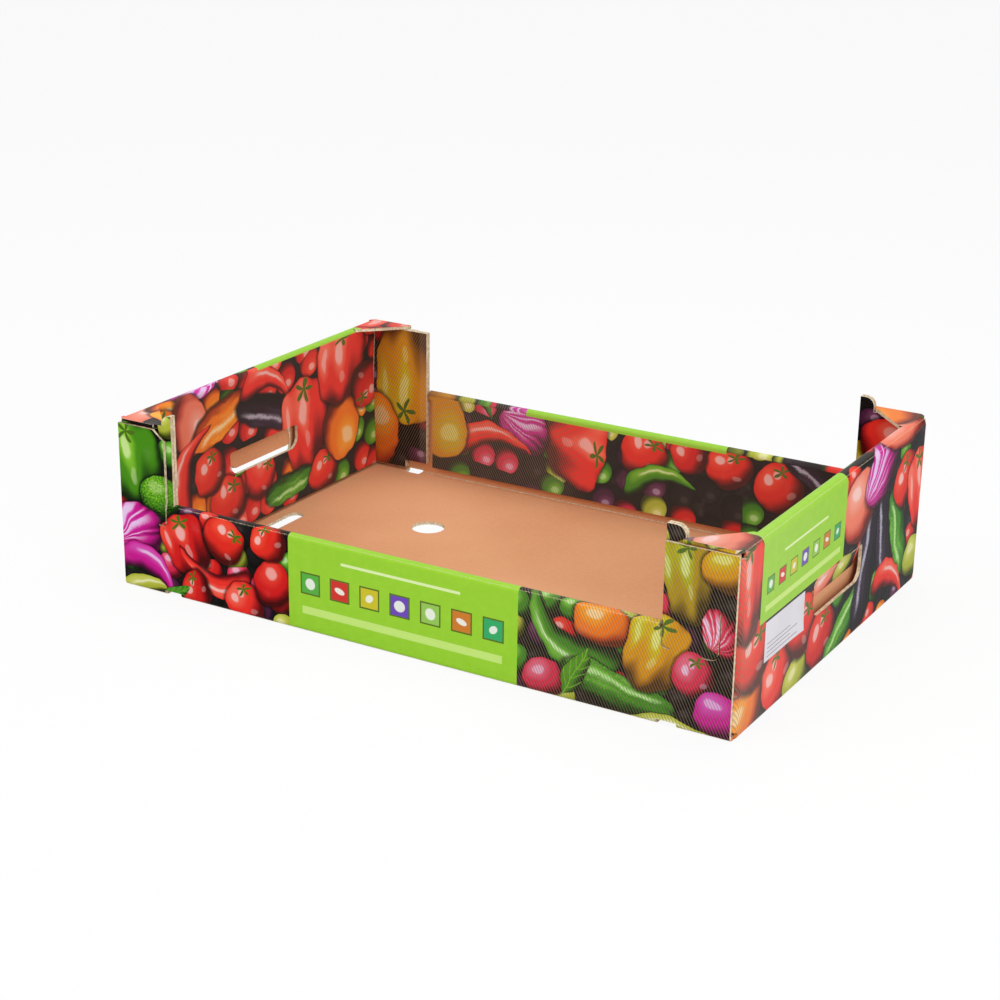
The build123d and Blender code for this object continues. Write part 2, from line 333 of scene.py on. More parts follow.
class ProduceGroup(NodeSheet):
    """Node group that lays one kind of produce over the colours below it.

    The body reaches from -1 to 1 across and up, and a squared distance of 1 is its rim.
    """

    COLOURS = ("Under", "Shade", "Body", "Light", "Glint")
    NUMBERS = ("Clear", "Across", "Up", "Grain")
    CALYX_GREEN = (0.07, 0.15, 0.008)
    LIGHT_ACROSS, LIGHT_UP, ROUNDNESS = -0.30, 0.44, 0.74
    RIM_START, RIM_END = 0.94, 1.04
    SHADOW_REACH, SHADOW_DEPTH = 1.35, 0.8
    ROUND_GLEAMS = (
        Gleam(-0.34, 0.34, 0.22, 0.26, 0.75), Gleam(0.06, 0.46, 0.16, 0.20, 0.60),
        Gleam(0.42, -0.42, 0.20, 0.14, 0.22),
    )
    PLAIN_GLEAMS = (Gleam(-0.28, 0.40, 0.34, 0.26, 0.55),)
    LOBED_GLEAMS = (
        Gleam(-0.72, 0.30, 0.11, 0.34, 0.50), Gleam(-0.06, 0.34, 0.18, 0.32, 0.65),
        Gleam(0.02, -0.30, 0.13, 0.20, 0.30),
    )
    SPECKLED_GLEAMS = (Gleam(-0.25, 0.42, 0.46, 0.34, 0.22),)

    def __init__(self, kind: Produce) -> None:
        """Draws the group.

        Args:
            kind: The kind of produce.
        """
        self.tree = bpy.data.node_groups.new(f"produce {kind.value}", "ShaderNodeTree")
        sockets = self.tree.interface
        for name in self.COLOURS:
            sockets.new_socket(name, in_out="INPUT", socket_type="NodeSocketColor")
        for name in self.NUMBERS:
            sockets.new_socket(name, in_out="INPUT", socket_type="NodeSocketFloat")
        sockets.new_socket("Colour", in_out="OUTPUT", socket_type="NodeSocketColor")
        sockets.new_socket("Clear", in_out="OUTPUT", socket_type="NodeSocketFloat")
        self.inputs = self.tree.nodes.new("NodeGroupInput").outputs
        self.across, self.up, self.grain = (self.inputs[name] for name in self.NUMBERS[1:])
        colour, clear = getattr(self, f"_{kind.value}")()
        output = self.tree.nodes.new("NodeGroupOutput")
        self.tree.links.new(colour, output.inputs[0])
        self.tree.links.new(clear, output.inputs[1])

    def _size(self, value: object, power: float) -> object:
        """A number's size, without its sign, raised to a power."""
        return self.math("POWER", self.math("ABSOLUTE", value), power)

    def _lit(self, square: object, slope_u: object, slope_v: object) -> object:
        """Light on a rounded body, from the upper left.

        Args:
            square: Squared distance from the body's middle.
            slope_u: How far the surface leans to the right.
            slope_v: How far it leans up.

        Returns:
            The light, about 0 in the shade and 1 where it is strongest.
        """
        rise = self.math("SQRT", self.math("MAXIMUM", self.math("SUBTRACT", 1.0, square), 0.0))
        side = self.mul_add(slope_u, self.LIGHT_ACROSS, self.mul(slope_v, self.LIGHT_UP))
        return self.mul_add(rise, self.ROUNDNESS, side)

    def _ball(self) -> tuple[object, object]:
        """Light on a ball, and the squared distance from its middle."""
        square = self.squares(self.across, self.up)
        return self._lit(square, self.across, self.up), square

    def _skin(self, light: object) -> object:
        """Colour of the skin, from dark at the rim over its shade and body to its light.

        Args:
            light: The light that falls on it.

        Returns:
            The colour.
        """
        deep = self.blend(0.75, self.inputs["Shade"], BLACK)
        colour = self.blend(self.span(light, 0.0, 0.30), deep, self.inputs["Shade"])
        colour = self.blend(self.span(light, 0.22, 0.56), colour, self.inputs["Body"])
        return self.blend(self.span(light, 0.62, 1.0), colour, self.inputs["Light"])

    def _gleaming(self, colour: object, gleams: tuple[Gleam, ...]) -> object:
        """Adds the gleams of a skin.

        Args:
            colour: Colour of the skin.
            gleams: The gleams.

        Returns:
            The new colour.
        """
        for gleam in gleams:
            first = self.mul_add(self.across, 1 / gleam.half_u, -gleam.across / gleam.half_u)
            second = self.mul_add(self.up, 1 / gleam.half_v, -gleam.up / gleam.half_v)
            share = self.span(self.squares(first, second), 0.35, 1.1, gleam.strength, 0.0)
            colour = self.blend(share, colour, self.inputs["Glint"])
        return colour

    def _calyx(self, colour: object, across: float, up: float, size: float) -> object:
        """Adds the green star where the stalk was.

        Args:
            colour: Colour of the skin.
            across: The star's middle.
            up: The star's middle.
            size: Its size.

        Returns:
            The new colour.
        """
        first = self.mul_add(self.across, 1 / size, -across / size)
        second = self.mul_add(self.up, 1.4 / size, -1.4 * up / size)
        arms = self.math("COSINE", self.mul(self.math("ARCTAN2", second, first), 5.0))
        outline = self.mul_add(arms, 0.42, 0.55)
        depth = self.math("SUBTRACT", self.math("SQRT", self.squares(first, second)), outline)
        return self.blend(self.span(depth, -0.08, 0.06, 1.0, 0.0), colour, self.CALYX_GREEN)

    def _over(self, colour: object, square: object) -> tuple[object, object]:
        """Lays the finished body, with its shadow, over what lies below.

        Args:
            colour: The body's colour.
            square: Squared distance from its middle.

        Returns:
            The colour, and how much is clear of this body and of all before it.
        """
        dim = self.span(square, 1.0, self.SHADOW_REACH, self.SHADOW_DEPTH, 0.0)
        show = self.span(square, self.RIM_START, self.RIM_END, 1.0, 0.0)
        under = self.blend(dim, self.inputs["Under"], BLACK)
        clear = self.mul(self.inputs["Clear"], self.math("SUBTRACT", 1.0, dim))
        clear = self.mul(clear, self.math("SUBTRACT", 1.0, show))
        return self.blend(show, under, colour), clear

    def _round(self) -> tuple[object, object]:
        """Tomato or cherry: a ball with three gleams and its calyx."""
        light, square = self._ball()
        colour = self._gleaming(self._skin(light), self.ROUND_GLEAMS)
        return self._over(self._calyx(colour, 0.28, 0.55, 0.42), square)

    def _plain(self) -> tuple[object, object]:
        """Smooth ball with one broad gleam."""
        light, square = self._ball()
        return self._over(self._gleaming(self._skin(light), self.PLAIN_GLEAMS), square)

    def _lobed(self) -> tuple[object, object]:
        """Pepper: two furrows between three lobes, long gleams and a calyx."""
        furrows = self.math("COSINE", self.mul(self.across, 7.4))
        taper = self.mul_add(self.up, -0.16, 1.0)
        wide = self._size(self.mul(self.across, taper), 2.4)
        square = self.math("ADD", wide, self._size(self.up, 2.8))
        square = self.mul_add(furrows, -0.07, square)
        light = self.mul_add(furrows, 0.13, self._lit(square, self.across, self.up))
        colour = self._gleaming(self._skin(light), self.LOBED_GLEAMS)
        return self._over(self._calyx(colour, 0.04, 0.74, 0.40), square)

    def _long(self) -> tuple[object, object]:
        """Cucumber or aubergine: a long rounded body with a broken gleam along it."""
        square = self.mul_add(self.up, self.up, self._size(self.across, 3.4))
        bend = self.math("SINE", self.mul(self.across, 6.0))
        phase = self.mul_add(self.up, 11.0, self.mul_add(self.grain, 7.0, bend))
        streaks = self.math("SINE", phase)
        light = self._lit(square, self.mul(self.across, 0.2), self.up)
        light = self.mul_add(streaks, 0.09, light)
        light = self.math("ADD", light, self.span(self.grain, 0.58, 0.68, 0.0, 0.22))
        away = self.math("ABSOLUTE", self.math("SUBTRACT", self.up, 0.36))
        near = self.span(away, 0.05, 0.28, 1.0, 0.0)
        gleam = self.mul(near, self.span(streaks, -0.6, 0.9, 0.12, 0.66))
        ends = self.span(self.math("ABSOLUTE", self.across), 0.5, 0.85, 1.0, 0.0)
        gleam = self.mul(gleam, ends)
        return self._over(self.blend(gleam, self._skin(light), self.inputs["Glint"]), square)

    def _streaked(self) -> tuple[object, object]:
        """Onion or beet: pale ribs that meet at the root."""
        light, square = self._ball()
        angle = self.math("ARCTAN2", self.math("ADD", self.up, 0.16), self.math("ADD", self.across, 1.12))
        swell = self.math("SINE", self.mul(angle, 13.0))
        phase = self.mul_add(angle, 27.0, self.mul_add(swell, 1.7, self.grain))
        ribs = self.math("SINE", phase)
        colour = self._skin(self.mul_add(ribs, 0.17, light))
        pale = self.mul(self.span(ribs, 0.25, 0.95), self.span(light, 0.35, 0.85, 0.0, 0.9))
        return self._over(self.blend(pale, colour, self.inputs["Glint"]), square)

    def _speckled(self) -> tuple[object, object]:
        """Lime or avocado: a ball with a pebbled skin."""
        light, square = self._ball()
        light = self.math("ADD", light, self.span(self.grain, 0.40, 0.62, -0.20, 0.20))
        return self._over(self._gleaming(self._skin(light), self.SPECKLED_GLEAMS), square)

    def _curved(self) -> tuple[object, object]:
        """Chilli: a bent body that tapers to its tip."""
        bent = self.mul_add(self.mul(self.across, self.across), 0.75, self.up)
        width = self.mul_add(self.across, -0.30, 0.42)
        ratio = self.math("DIVIDE", self.math("SUBTRACT", bent, 0.30), width)
        square = self.mul_add(ratio, ratio, self._size(self.across, 6.0))
        light = self._lit(square, 0.0, ratio)
        away = self.math("ABSOLUTE", self.math("SUBTRACT", ratio, 0.34))
        ends = self.span(self.math("ABSOLUTE", self.across), 0.30, 0.62, 1.0, 0.0)
        gleam = self.mul(self.span(away, 0.04, 0.22, 0.8, 0.0), ends)
        return self._over(self.blend(gleam, self._skin(light), self.inputs["Glint"]), square)

    def _leaf(self) -> tuple[object, object]:
        """Leaf with its veins."""
        half = self.math("SUBTRACT", 1.0, self.mul(self.across, self.across))
        ratio = self.math("DIVIDE", self.up, self.math("MAXIMUM", half, 0.02))
        inside = self.math("LESS_THAN", self.math("ABSOLUTE", self.across), 1.0)
        square = self.mul_add(ratio, ratio, self.mul_add(inside, -2.0, 2.0))
        slant = self.mul(self.math("ABSOLUTE", self.up), 9.0)
        slant = self.math("SUBTRACT", self.mul(self.across, 16.0), slant)
        veins = self.span(self.math("SINE", slant), 0.75, 1.0, 0.0, 0.55)
        midrib = self.span(self.math("ABSOLUTE", self.up), 0.02, 0.07, 0.8, 0.0)
        light = self.mul_add(square, -0.30, self.mul_add(self.up, 0.35, 0.62))
        colour = self.blend(self.math("MAXIMUM", veins, midrib), self._skin(light), self.inputs["Light"])
        return self._over(colour, square)


@dataclass(frozen=True)
class PrintDesign:
    """Print of one wall of the tray: a heap of small produce, larger pieces over it, and a label field."""

    name: str
    heap: tuple[Skin, ...]
    heap_size: float
    heap_seed: float
    motifs: tuple[Motif, ...]
    corner_fold: float
    top_fold: Spot
    hatch: Spot
    label: LabelField
    # Share of painted reflection at the low end of the wall's outer face, fading out a little past its
    # middle.
    outer_reflection: float = 0.0

    FOLD_SLACK, PANEL_SLACK = 0.5, 4.0
    WOBBLE = 8.0
    GROWN, CURVED_GROWN = 1.18, 1.45

    def zone(self, along: float, low: float) -> Zone:
        """Tells which side of the top fold a face lies on.

        Args:
            along: The face's middle along the wall, in millimetres.
            low: Its lowest height on the unfolded blank.

        Returns:
            The face's zone.
        """
        fold_height, fold_reach = self.top_fold
        inside = low > fold_height - self.FOLD_SLACK and abs(along) < fold_reach + self.PANEL_SLACK
        return Zone.INNER if inside else Zone.OUTER

    def reaches(self, motif: Motif, zone: Zone) -> bool:
        """Tells whether a motif, grown by its shadow and shifted by the print's wobble, reaches a zone.

        Args:
            motif: The motif.
            zone: The zone.

        Returns:
            Whether the zone's material has to draw it.
        """
        fold_height, fold_reach = self.top_fold
        turn = math.radians(motif.turn)
        right, up = abs(math.cos(turn)), abs(math.sin(turn))
        grown = self.CURVED_GROWN if motif.kind is Produce.CURVED else self.GROWN
        run = grown * (right * motif.half_u + up * motif.half_v) + self.WOBBLE
        rise = grown * (up * motif.half_u + right * motif.half_v) + self.WOBBLE
        if zone is Zone.INNER:
            return motif.v + rise > fold_height and abs(motif.u) - run < fold_reach + self.PANEL_SLACK
        beside = fold_reach < self.corner_fold and abs(motif.u) + run > fold_reach
        return motif.v - rise < fold_height or beside


class PrintSheet(NodeSheet):
    """Draws a wall's print on the UV map, which is in millimetres of the unfolded blank.

    The larger pieces are laid over black, and the heap shows where they leave it clear: each chain of
    nodes is finished before the next, which keeps the shader small enough to run.
    """

    INK = (0.006, 0.005, 0.005)
    MOTTLE = (0.80, 0.62, 0.60)
    DUST = (0.80, 0.76, 0.70)
    HATCH_LINE = (0.20, 0.145, 0.10)
    HATCH_TURN = -62.0
    HATCH_SCALE = 0.125
    LIME_FIELD = (0.305, 0.61, 0.035)
    LIME_CLOUD = (0.42, 0.70, 0.06)
    BAR_TINTS = ((0.72, 0.86, 0.42), (0.56, 0.79, 0.20))
    TILE_FRAME = (0.10, 0.16, 0.02)
    TILE_SHAPE = (0.86, 0.88, 0.80)
    TILE_SLIMNESS = (0.62, 0.30, 0.44, 0.54)
    TILE_LEANS = (0.5, -0.3, 0.8, 0.0)
    TILE_INNER, TILE_SHAPE_HALF = 0.86, 0.58
    # Pale colour along the folds: cracked print, partly a painted highlight on the rounded folds.
    FOLD_CRACK_AND_HIGHLIGHT = (0.74, 0.62, 0.42)
    # Pale tint of the painted reflection, the rise above the top fold over which it fades in, and its share
    # there.
    BLOOM = (0.92, 0.80, 0.72)
    BLOOM_RISE, BLOOM_SHARE = 4.0, 0.04
    WOBBLE = 14.0
    WOBBLE_SCALE, GRAIN_SCALE, MOTTLE_SCALE, DUST_SCALE = 0.030, 0.55, 0.05, 1.6
    CLOUD_SCALE, CRACK_SCALE, WARP_SCALE = 0.12, 0.9, 0.012
    BALL_SPREAD, BALL_SIZE, SEED_RISE = 0.6, 0.53, 0.7
    FLUTE_HEIGHT, WARP_HEIGHT = 0.00004, 0.0012
    ROUGHNESS, SHEEN = 0.34, 0.03

    def __init__(self, design: PrintDesign, zone: Zone, groups: dict[Produce, bpy.types.NodeTree]) -> None:
        """Draws the print.

        Args:
            design: The wall's design.
            zone: The side of the top fold that the material is for.
            groups: Node groups of the kinds of produce.
        """
        super().__init__(f"{design.name} {zone.value}")
        self.design = design
        self.blank = self.add("UVMap", uv_map="Blank").outputs[0]
        wobble = self.noise(self.blank, self.WOBBLE_SCALE)
        offset = self.vector("SUBTRACT", wobble.outputs["Color"], (0.5, 0.5, 0.5)).outputs[0]
        shift = self.vector("MULTIPLY", offset, (self.WOBBLE, self.WOBBLE, 0.0)).outputs[0]
        self.bent = self.vector("ADD", self.blank, shift).outputs[0]
        self.grain = self.noise(self.blank, self.GRAIN_SCALE, 3.0, 0.6).outputs[0]
        colour, clear = BLACK, 1.0
        for motif in design.motifs:
            if design.reaches(motif, zone):
                colour, clear = self._produce(groups[motif.kind], colour, clear, motif)
        heap = self._heap(groups[Produce.PLAIN])
        colour = self.blend(1.0, colour, self.blend(clear, BLACK, heap), "ADD")
        mottle = self.noise(self.blank, self.MOTTLE_SCALE, 3.0).outputs[0]
        colour = self.blend(self.span(mottle, 0.58, 0.80, 0.0, 0.04), colour, self.MOTTLE)
        self.along, self.up, _ = self.split(self.blank)
        colour = self._label(self._hatched(colour))
        fine = self.noise(self.blank, self.DUST_SCALE).outputs[0]
        colour = self.blend(self.span(fine, 0.45, 0.75, 0.0, 0.02), colour, self.DUST)
        # Pale fold lines (cracked print with painted highlight), then painted reflection, then the varnish.
        self._varnish(self._painted_reflection(self._fold_cracks_and_highlight(colour)))

    def _produce(
        self, group: bpy.types.NodeTree, under: object, clear: object, motif: Motif,
    ) -> tuple[object, object]:
        """Lays one piece of produce over the colours below it.

        Args:
            group: Node group of the kind of produce.
            under: Colour below.
            clear: How much is clear of all pieces so far.
            motif: The piece.

        Returns:
            The new colour, and how much stays clear.
        """
        turn = math.radians(motif.turn)
        right, up = (math.cos(turn), math.sin(turn)), (-math.sin(turn), math.cos(turn))
        local = []
        for (x, y), half in ((right, motif.half_u), (up, motif.half_v)):
            along = self.vector("DOT_PRODUCT", self.bent, (x / half, y / half, 0.0)).outputs[1]
            local.append(self.math("SUBTRACT", along, (x * motif.u + y * motif.v) / half))
        skin = motif.skin
        values = (under, skin.shade, skin.body, skin.light, skin.glint, clear, *local, self.grain)
        return tuple(self.add("Group", values, node_tree=group).outputs)

    def _heap(self, group: bpy.types.NodeTree) -> object:
        """Heaps small round produce over the whole print.

        Args:
            group: Node group of the plain ball.

        Returns:
            The heap's colour.
        """
        design = self.design
        shifted = self.place(self.blank, location=(design.heap_seed, design.heap_seed * self.SEED_RISE, 0.0))
        values = {"Vector": shifted, "Scale": 1.0 / design.heap_size, "Randomness": self.BALL_SPREAD}
        cells = self.add("TexVoronoi", values, voronoi_dimensions="2D")
        parts = self.split(self.vector("SUBTRACT", shifted, cells.outputs["Position"]).outputs[0])
        local = [self.math("DIVIDE", parts[axis], self.BALL_SIZE * design.heap_size) for axis in (0, 1)]
        tint = self.add("SeparateColor", (cells.outputs["Color"],)).outputs[0]
        tones = [
            self.pick(tint, [getattr(skin, tone) for skin in design.heap])
            for tone in ("shade", "body", "light", "glint")
        ]
        values = (self.INK, *tones, 1.0, *local, self.grain)
        return self.add("Group", values, node_tree=group).outputs[0]

    def _box(self, low: Spot, high: Spot) -> object:
        """Marks a rectangle of the print.

        Args:
            low: Its lowest corner.
            high: Its highest corner.

        Returns:
            A share of 1 inside and 0 outside.
        """
        inside_u = self.math("COMPARE", self.along, (low[0] + high[0]) / 2, (high[0] - low[0]) / 2)
        inside_v = self.math("COMPARE", self.up, (low[1] + high[1]) / 2, (high[1] - low[1]) / 2)
        return self.mul(inside_u, inside_v)

    def _hatched(self, colour: object) -> object:
        """Adds the fine slanting lines of the print screen, which come up towards one side of the wall.

        Args:
            colour: Colour so far.

        Returns:
            The new colour.
        """
        lines = self.waves(self.place(self.blank, "TEXTURE", turn=self.HATCH_TURN), "Y", self.HATCH_SCALE)
        low, high = self.design.hatch
        if low < high:
            share = self.span(self.along, low, high)
        else:
            share = self.span(self.along, high, low, 1.0, 0.0)
        amount = self.mul(self.span(lines, 0.40, 0.90, 0.0, 0.50), share)
        return self.blend(amount, colour, self.HATCH_LINE)

    def _label(self, under: object) -> object:
        """Adds the plain lime field with its row of tiles and its bars.

        Args:
            under: Colour below the field.

        Returns:
            The new colour.
        """
        label = self.design.label
        mottle = self.noise(self.blank, self.CLOUD_SCALE, 3.0).outputs[0]
        colour = self.blend(self.span(mottle, 0.35, 0.75, 0.0, 0.25), self.LIME_FIELD, self.LIME_CLOUD)
        for index, tint in enumerate(label.tiles):
            colour = self._tile(colour, index, tint)
        for (low, high), fill in zip(label.bars, self.BAR_TINTS):
            colour = self.blend(self._box(low, high), colour, fill)
        return self.blend(self._box(label.low, label.high), under, colour)

    def _tile(self, under: object, index: int, tint: Colour) -> object:
        """Adds one bordered tile with a plain pale shape.

        Args:
            under: Colour below.
            index: The tile's number in the row, which sets how slim its shape is and how it leans.
            tint: Its colour.

        Returns:
            The new colour.
        """
        label, colour = self.design.label, under
        u, v, half = label.tile_start + index * label.tile_pitch, label.tile_v, label.tile_half
        for reach, fill in ((half, self.TILE_FRAME), (self.TILE_INNER * half, tint)):
            colour = self.blend(self._box((u - reach, v - reach), (u + reach, v + reach)), colour, fill)
        slim = self.TILE_SLIMNESS[index % len(self.TILE_SLIMNESS)] * half
        lean = self.TILE_LEANS[index % len(self.TILE_LEANS)]
        right, rise = self.math("SUBTRACT", self.along, u), self.math("SUBTRACT", self.up, v)
        first = self.mul(self.mul_add(rise, lean, right), 1 / (self.TILE_SHAPE_HALF * half))
        second = self.mul(self.mul_add(right, -lean, rise), 1 / slim)
        share = self.span(self.squares(first, second), 0.7, 1.0, 0.9, 0.0)
        return self.blend(share, colour, self.TILE_SHAPE)

    def _fold_cracks_and_highlight(self, colour: object) -> object:
        """Adds pale hairs along the folds: the print's cracks there, and a painted highlight where light
        catches the rounded folds.

        Args:
            colour: Colour so far.

        Returns:
            The new colour.
        """
        crack = self.noise(self.blank, self.CRACK_SCALE, 3.0, 0.7).outputs[0]
        fold_height, fold_reach = self.design.top_fold
        corner_fold = self.design.corner_fold
        distance = self.math("ABSOLUTE", self.along)
        corner = self.math("ABSOLUTE", self.math("SUBTRACT", distance, corner_fold))
        top = self.math("ABSOLUTE", self.math("SUBTRACT", self.up, fold_height))
        beyond = self.mul(self.math("GREATER_THAN", distance, fold_reach), corner_fold)
        away = self.math("MINIMUM", corner, self.math("ADD", top, beyond))
        near = self.span(away, 0.2, 1.0, 1.0, 0.0)
        share = self.mul(near, self.span(crack, 0.42, 0.60, 0.0, 0.6))
        # Pale hairs: cracked print, and painted highlight along the folds.
        return self.blend(share, colour, self.FOLD_CRACK_AND_HIGHLIGHT)

    def _painted_reflection(self, colour: object) -> object:
        """Adds a painted reflection: a pale tint that stands in for the bright surroundings mirrored in the
        varnish, on the inner panels and towards the right end's front.

        Args:
            colour: Colour so far.

        Returns:
            The new colour.
        """
        fold_height, fold_reach = self.design.top_fold
        within = self.math("LESS_THAN", self.math("ABSOLUTE", self.along), fold_reach)
        over_fold = self.span(self.up, fold_height, fold_height + self.BLOOM_RISE, 0.0, self.BLOOM_SHARE)
        inner = self.mul(over_fold, within)
        outer = self.span(self.along, -fold_reach, 0.4 * fold_reach, self.design.outer_reflection, 0.0)
        # Painted reflection of the bright surroundings, over the inner panels and the outer face's low end.
        return self.blend(self.math("MAXIMUM", inner, outer), colour, self.BLOOM)

    def _varnish(self, colour: object) -> None:
        """Adds the washboard of the flutes under the print, and its dull varnish.

        Args:
            colour: The print's colour.
        """
        flutes = self.waves(self.blank, "X", FLUTE_SCALE, 0.4)
        warp = self.noise(self.blank, self.WARP_SCALE, 1.0).outputs[0]
        fluting = self.mul(flutes, self.FLUTE_HEIGHT)
        height = self.mul_add(warp, self.WARP_HEIGHT, fluting)
        self.finish(colour, self.ROUGHNESS, height, 0.6, specular=self.SHEEN)


@dataclass(frozen=True)
class KraftLiner:
    """Bare brown liner with its fibres, its flecks and the faint washboard of the flutes."""

    light: Colour = (0.80, 0.405, 0.210)
    dark: Colour = (0.67, 0.305, 0.145)
    fibre_shape: tuple[float, float, float] = (150.0, 300.0, 300.0)
    fleck_scale: float = 900.0
    rib_height: float = 0.00005
    fibre_height: float = 0.00004

    def material(self) -> bpy.types.Material:
        """Returns the liner's material, drawn on Object coordinates."""
        sheet = NodeSheet("kraft liner")
        spot = sheet.add("TexCoord").outputs["Object"]
        cloud = sheet.noise(spot, 3.5, 3.0, 0.5).outputs[0]
        fibre = sheet.noise(sheet.place(spot, scale=self.fibre_shape), 1.0, 4.0, 0.7).outputs[0]
        fleck = sheet.noise(spot, self.fleck_scale, 1.0).outputs[0]
        colour = sheet.blend(sheet.span(cloud, 0.3, 0.7), self.dark, self.light)
        colour = sheet.blend(sheet.span(fibre, 0.35, 0.7, 0.0, 0.22), colour, times(self.light, 1.05))
        colour = sheet.blend(sheet.span(fleck, 0.66, 0.74, 0.0, 0.5), colour, times(self.dark, 0.55))
        rib = sheet.waves(spot, "Y", FLUTE_SCALE / MM)
        colour = sheet.blend(sheet.mul(rib, 0.06), colour, times(self.dark, 0.7))
        height = sheet.math("ADD", sheet.mul(rib, self.rib_height), sheet.mul(fibre, self.fibre_height))
        return sheet.finish(colour, 0.82, height, 0.8)


@dataclass(frozen=True)
class CutEdge:
    """Die-cut edge of the board: pale liners with the darker fluted middle between them."""

    liner: Colour = (0.78, 0.66, 0.46)
    fluting: Colour = (0.42, 0.27, 0.14)
    fuzz: Colour = (0.86, 0.78, 0.62)
    flute_shape: tuple[float, float, float] = (330.0, 330.0, 330.0)
    flute_height: float = 0.0004

    def material(self) -> bpy.types.Material:
        """Returns the edge's material, drawn on Object coordinates."""
        sheet = NodeSheet("cut edge")
        spot = sheet.add("TexCoord").outputs["Object"]
        flute = sheet.noise(sheet.place(spot, scale=self.flute_shape), 1.0, 1.0).outputs[0]
        fuzz = sheet.noise(spot, 1500.0, 2.0).outputs[0]
        colour = sheet.blend(sheet.span(flute, 0.40, 0.62, 0.0, 0.6), self.liner, self.fluting)
        colour = sheet.blend(sheet.mul(fuzz, 0.3), colour, self.fuzz)
        return sheet.finish(colour, 0.9, sheet.mul(flute, self.flute_height), 1.0)


@dataclass(frozen=True)
class TraySizes:
    """Sizes of the folded tray in millimetres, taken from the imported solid's box and the board."""

    half_length: float
    half_width: float
    deck: float = 157.0
    front_wall: float = 86.0
    back_wall: float = 93.0
    board: float = 3.0
    end_depth: float = 12.0
    side_depth: float = 9.0
    fold: float = 4.5
    ply: float = 3.4
    ply_slack: float = 0.9
    crease_x: float = 297.0
    crease_z: float = 82.0
    flap_angle: float = 15.0

    @classmethod
    def from_frame(cls) -> "TraySizes":
        """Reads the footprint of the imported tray."""
        low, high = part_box("tray")
        return cls(half_length=(high[0] - low[0]) / 2 / MM, half_width=(high[1] - low[1]) / 2 / MM)

    @property
    def panel_reach(self) -> float:
        """How far an end's inner panel reaches to each side of its middle, up to the corner's plies."""
        return self.half_width - 3 * self.ply + self.ply_slack

    def low_wall(self, y: float) -> float:
        """Height of the long wall on the side where y lies."""
        return self.back_wall if y > 0.0 else self.front_wall

    def flattened(self, end: float) -> Matrix:
        """Swings a hand flap back into the plane of its wall, where the print was laid on it.

        Args:
            end: The flap's end, -1 for the left and 1 for the right.

        Returns:
            The turn about the flap's crease, in metres.
        """
        crease = Matrix.Translation((end * self.crease_x, 0.0, self.crease_z))
        swing = Matrix.Rotation(math.radians(-end * self.flap_angle), 4, "Y")
        return Matrix.Scale(MM, 4) @ crease @ swing @ crease.inverted() @ Matrix.Scale(1 / MM, 4)


